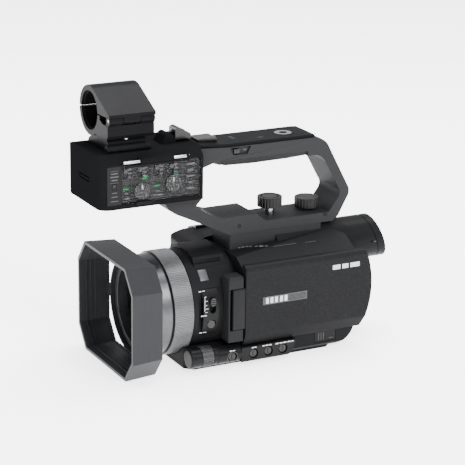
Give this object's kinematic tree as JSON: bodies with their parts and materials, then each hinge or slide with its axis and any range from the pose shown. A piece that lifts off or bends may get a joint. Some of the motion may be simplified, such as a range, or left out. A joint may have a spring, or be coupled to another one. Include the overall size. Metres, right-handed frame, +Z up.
{
  "type": "camcorder",
  "caption": "Compact professional camcorder with octagonal hood, swing-out monitor, sliding viewfinder and a screwed-on audio handle with microphone clamp.",
  "frame": {"origin": "mouth of the tripod socket on the underside", "axes": "+X to the operator's left (monitor side), the lens looks along -Y, +Z up"},
  "size_m": [0.1405, 0.2401, 0.2045],
  "materials": {
    "casing_black": "satin",
    "handle_grey": "satin",
    "control_black": "semi-gloss",
    "monitor_paint": "satin speckle",
    "hood_black": "matte",
    "ring_metal": "black anodised, brushed",
    "lens_glass": "coated",
    "screen_glass": "gloss",
    "bright_metal": "turned",
    "clear_plastic": "clear",
    "circuit_board": "solder mask",
    "strap_fabric": "woven",
    "record_red": "semi-gloss"
  },
  "bodies": {
    "root": {"audio_box": "handle_grey", "audio_panel": "control_black", "base_plate": "casing_black", "battery_pack": "casing_black", "circuit_boards": "circuit_board", "control_deck": "control_black", "dial_pod": "casing_black", "door_hinge": "bright_metal", "front_housing": "casing_black", "front_lens": "lens_glass", "front_ring": "ring_metal", "hand_strap": "strap_fabric", "handle_cover": "handle_grey", "handle_frame": "handle_grey", "hinge_block": "casing_black", "hinge_pins": "bright_metal", "left_shell": "casing_black", "lens_barrel": "casing_black", "lens_cradle": "casing_black", "lens_hood": "hood_black", "mic_base": "casing_black", "mic_cradle": "casing_black", "rear_cover": "casing_black", "rear_lens_group": "lens_glass", "right_shell": "casing_black", "switch_panel": "control_black", "thread_bushes": "bright_metal", "top_platform": "handle_grey", "xlr_sockets": "bright_metal"},
    "monitor": {"monitor_arm": "casing_black", "monitor_cover": "monitor_paint", "monitor_bezel": "casing_black", "monitor_screen": "screen_glass"},
    "viewfinder": {"viewfinder_barrel": "casing_black", "viewfinder_cap": "control_black", "viewfinder_lens": "lens_glass"},
    "manual_ring": {"manual_ring": "ring_metal"},
    "focus_selector": {"focus_selector": "control_black"},
    "focus_button": {"focus_button": "control_black"},
    "dial_wheel": {"dial_wheel": "control_black"},
    "terminal_door": {"terminal_door": "casing_black"},
    "grip_zoom_rocker": {"grip_zoom_rocker": "control_black"},
    "record_button": {"record_button": "record_red"},
    "handle_record_button": {"handle_record_button": "control_black"},
    "handle_zoom_rocker": {"handle_zoom_rocker": "control_black"},
    "handle_speed_slide": {"handle_speed_slide": "control_black"},
    "front_thumb_screw": {"front_thumb_screw": "control_black"},
    "rear_thumb_screw": {"rear_thumb_screw": "control_black"},
    "audio_door": {"audio_door": "clear_plastic"},
    "mic_lid": {"mic_lid": "casing_black"},
    "deck_button_1": {"deck_button_1": "control_black"},
    "deck_button_2": {"deck_button_2": "control_black"},
    "deck_button_3": {"deck_button_3": "control_black"},
    "deck_button_4": {"deck_button_4": "control_black"},
    "level_dial_1": {"level_dial_1": "control_black"},
    "level_dial_2": {"level_dial_2": "control_black"},
    "input_switch_1": {"input_switch_1": "control_black"},
    "input_switch_2": {"input_switch_2": "control_black"},
    "input_switch_3": {"input_switch_3": "control_black"},
    "input_switch_4": {"input_switch_4": "control_black"}
  },
  "joints": [
    {"name": "monitor_open", "type": "hinge", "parent": "root", "child": "monitor", "pos_m": [0.0412, -0.0276, 0.0445], "axis": [0, 0, -1], "range_deg": [0, 90]},
    {"name": "viewfinder_slide", "type": "slide", "parent": "root", "child": "viewfinder", "axis": [0, 1, 0], "range_m": [-0.022, 0]},
    {"name": "manual_ring_turn", "type": "hinge", "parent": "root", "child": "manual_ring", "pos_m": [0, -0.067, 0.0423], "axis": [0, 1, 0], "continuous": true},
    {"name": "focus_selector_slide", "type": "slide", "parent": "root", "child": "focus_selector", "axis": [0, 0, -1], "range_m": [0, 0.005]},
    {"name": "focus_button_press", "type": "slide", "parent": "root", "child": "focus_button", "axis": [-1, 0, 0], "range_m": [0, 0.0008], "stiffness_N_per_m": 300},
    {"name": "dial_wheel_turn", "type": "hinge", "parent": "root", "child": "dial_wheel", "pos_m": [0.0386, -0.051, 0.0104], "axis": [0, 1, 0], "continuous": true},
    {"name": "deck_button_1_press", "type": "slide", "parent": "root", "child": "deck_button_1", "axis": [-1, 0, 0], "range_m": [0, 0.001], "stiffness_N_per_m": 300},
    {"name": "deck_button_2_press", "type": "slide", "parent": "root", "child": "deck_button_2", "axis": [-1, 0, 0], "range_m": [0, 0.001], "stiffness_N_per_m": 300},
    {"name": "deck_button_3_press", "type": "slide", "parent": "root", "child": "deck_button_3", "axis": [-1, 0, 0], "range_m": [0, 0.001], "stiffness_N_per_m": 300},
    {"name": "deck_button_4_press", "type": "slide", "parent": "root", "child": "deck_button_4", "axis": [-1, 0, 0], "range_m": [0, 0.001], "stiffness_N_per_m": 300},
    {"name": "terminal_door_open", "type": "hinge", "parent": "root", "child": "terminal_door", "pos_m": [0.039, 0.0403, 0.0104], "axis": [0, 0, -1], "range_deg": [0, 100]},
    {"name": "grip_zoom_rock", "type": "hinge", "parent": "root", "child": "grip_zoom_rocker", "pos_m": [-0.041, -0.011, 0.0807], "axis": [0.9471, 0, 0.321], "range_deg": [-5, 5], "stiffness_Nm_per_rad": 0.2},
    {"name": "record_press", "type": "slide", "parent": "root", "child": "record_button", "axis": [0, -1, 0], "range_m": [0, 0.0015], "stiffness_N_per_m": 300},
    {"name": "handle_record_press", "type": "slide", "parent": "root", "child": "handle_record_button", "axis": [0, 0, -1], "range_m": [0, 0.0015], "stiffness_N_per_m": 300},
    {"name": "handle_zoom_rock", "type": "hinge", "parent": "root", "child": "handle_zoom_rocker", "pos_m": [0, -0.034, 0.1615], "axis": [1, 0, 0], "range_deg": [-5, 5], "stiffness_Nm_per_rad": 0.1},
    {"name": "handle_speed_select", "type": "slide", "parent": "root", "child": "handle_speed_slide", "axis": [0, 1, 0], "range_m": [0, 0.0064]},
    {"name": "front_thumb_screw_turn", "type": "hinge", "parent": "root", "child": "front_thumb_screw", "pos_m": [0, 0.021, 0.104], "axis": [0, 0, 1], "continuous": true},
    {"name": "rear_thumb_screw_turn", "type": "hinge", "parent": "root", "child": "rear_thumb_screw", "pos_m": [0, 0.0525, 0.1], "axis": [0, 0, 1], "continuous": true},
    {"name": "audio_door_open", "type": "hinge", "parent": "root", "child": "audio_door", "pos_m": [0.0259, -0.0785, 0.1576], "axis": [0, -1, 0], "range_deg": [0, 110]},
    {"name": "mic_lid_open", "type": "hinge", "parent": "root", "child": "mic_lid", "pos_m": [0.0135, -0.09725, 0.1852], "axis": [0, 1, 0], "range_deg": [0, 95]},
    {"name": "level_dial_1_turn", "type": "hinge", "parent": "root", "child": "level_dial_1", "pos_m": [0.0222, -0.0932, 0.1354], "axis": [1, 0, 0], "range_deg": [-135, 135]},
    {"name": "level_dial_2_turn", "type": "hinge", "parent": "root", "child": "level_dial_2", "pos_m": [0.0222, -0.069, 0.1382], "axis": [1, 0, 0], "range_deg": [-135, 135]},
    {"name": "input_switch_1_slide", "type": "slide", "parent": "root", "child": "input_switch_1", "axis": [0, 0, -1], "range_m": [0, 0.004]},
    {"name": "input_switch_2_slide", "type": "slide", "parent": "root", "child": "input_switch_2", "axis": [0, 0, -1], "range_m": [0, 0.004]},
    {"name": "input_switch_3_slide", "type": "slide", "parent": "root", "child": "input_switch_3", "axis": [0, 0, -1], "range_m": [0, 0.004]},
    {"name": "input_switch_4_slide", "type": "slide", "parent": "root", "child": "input_switch_4", "axis": [0, 0, -1], "range_m": [0, 0.004]}
  ]
}
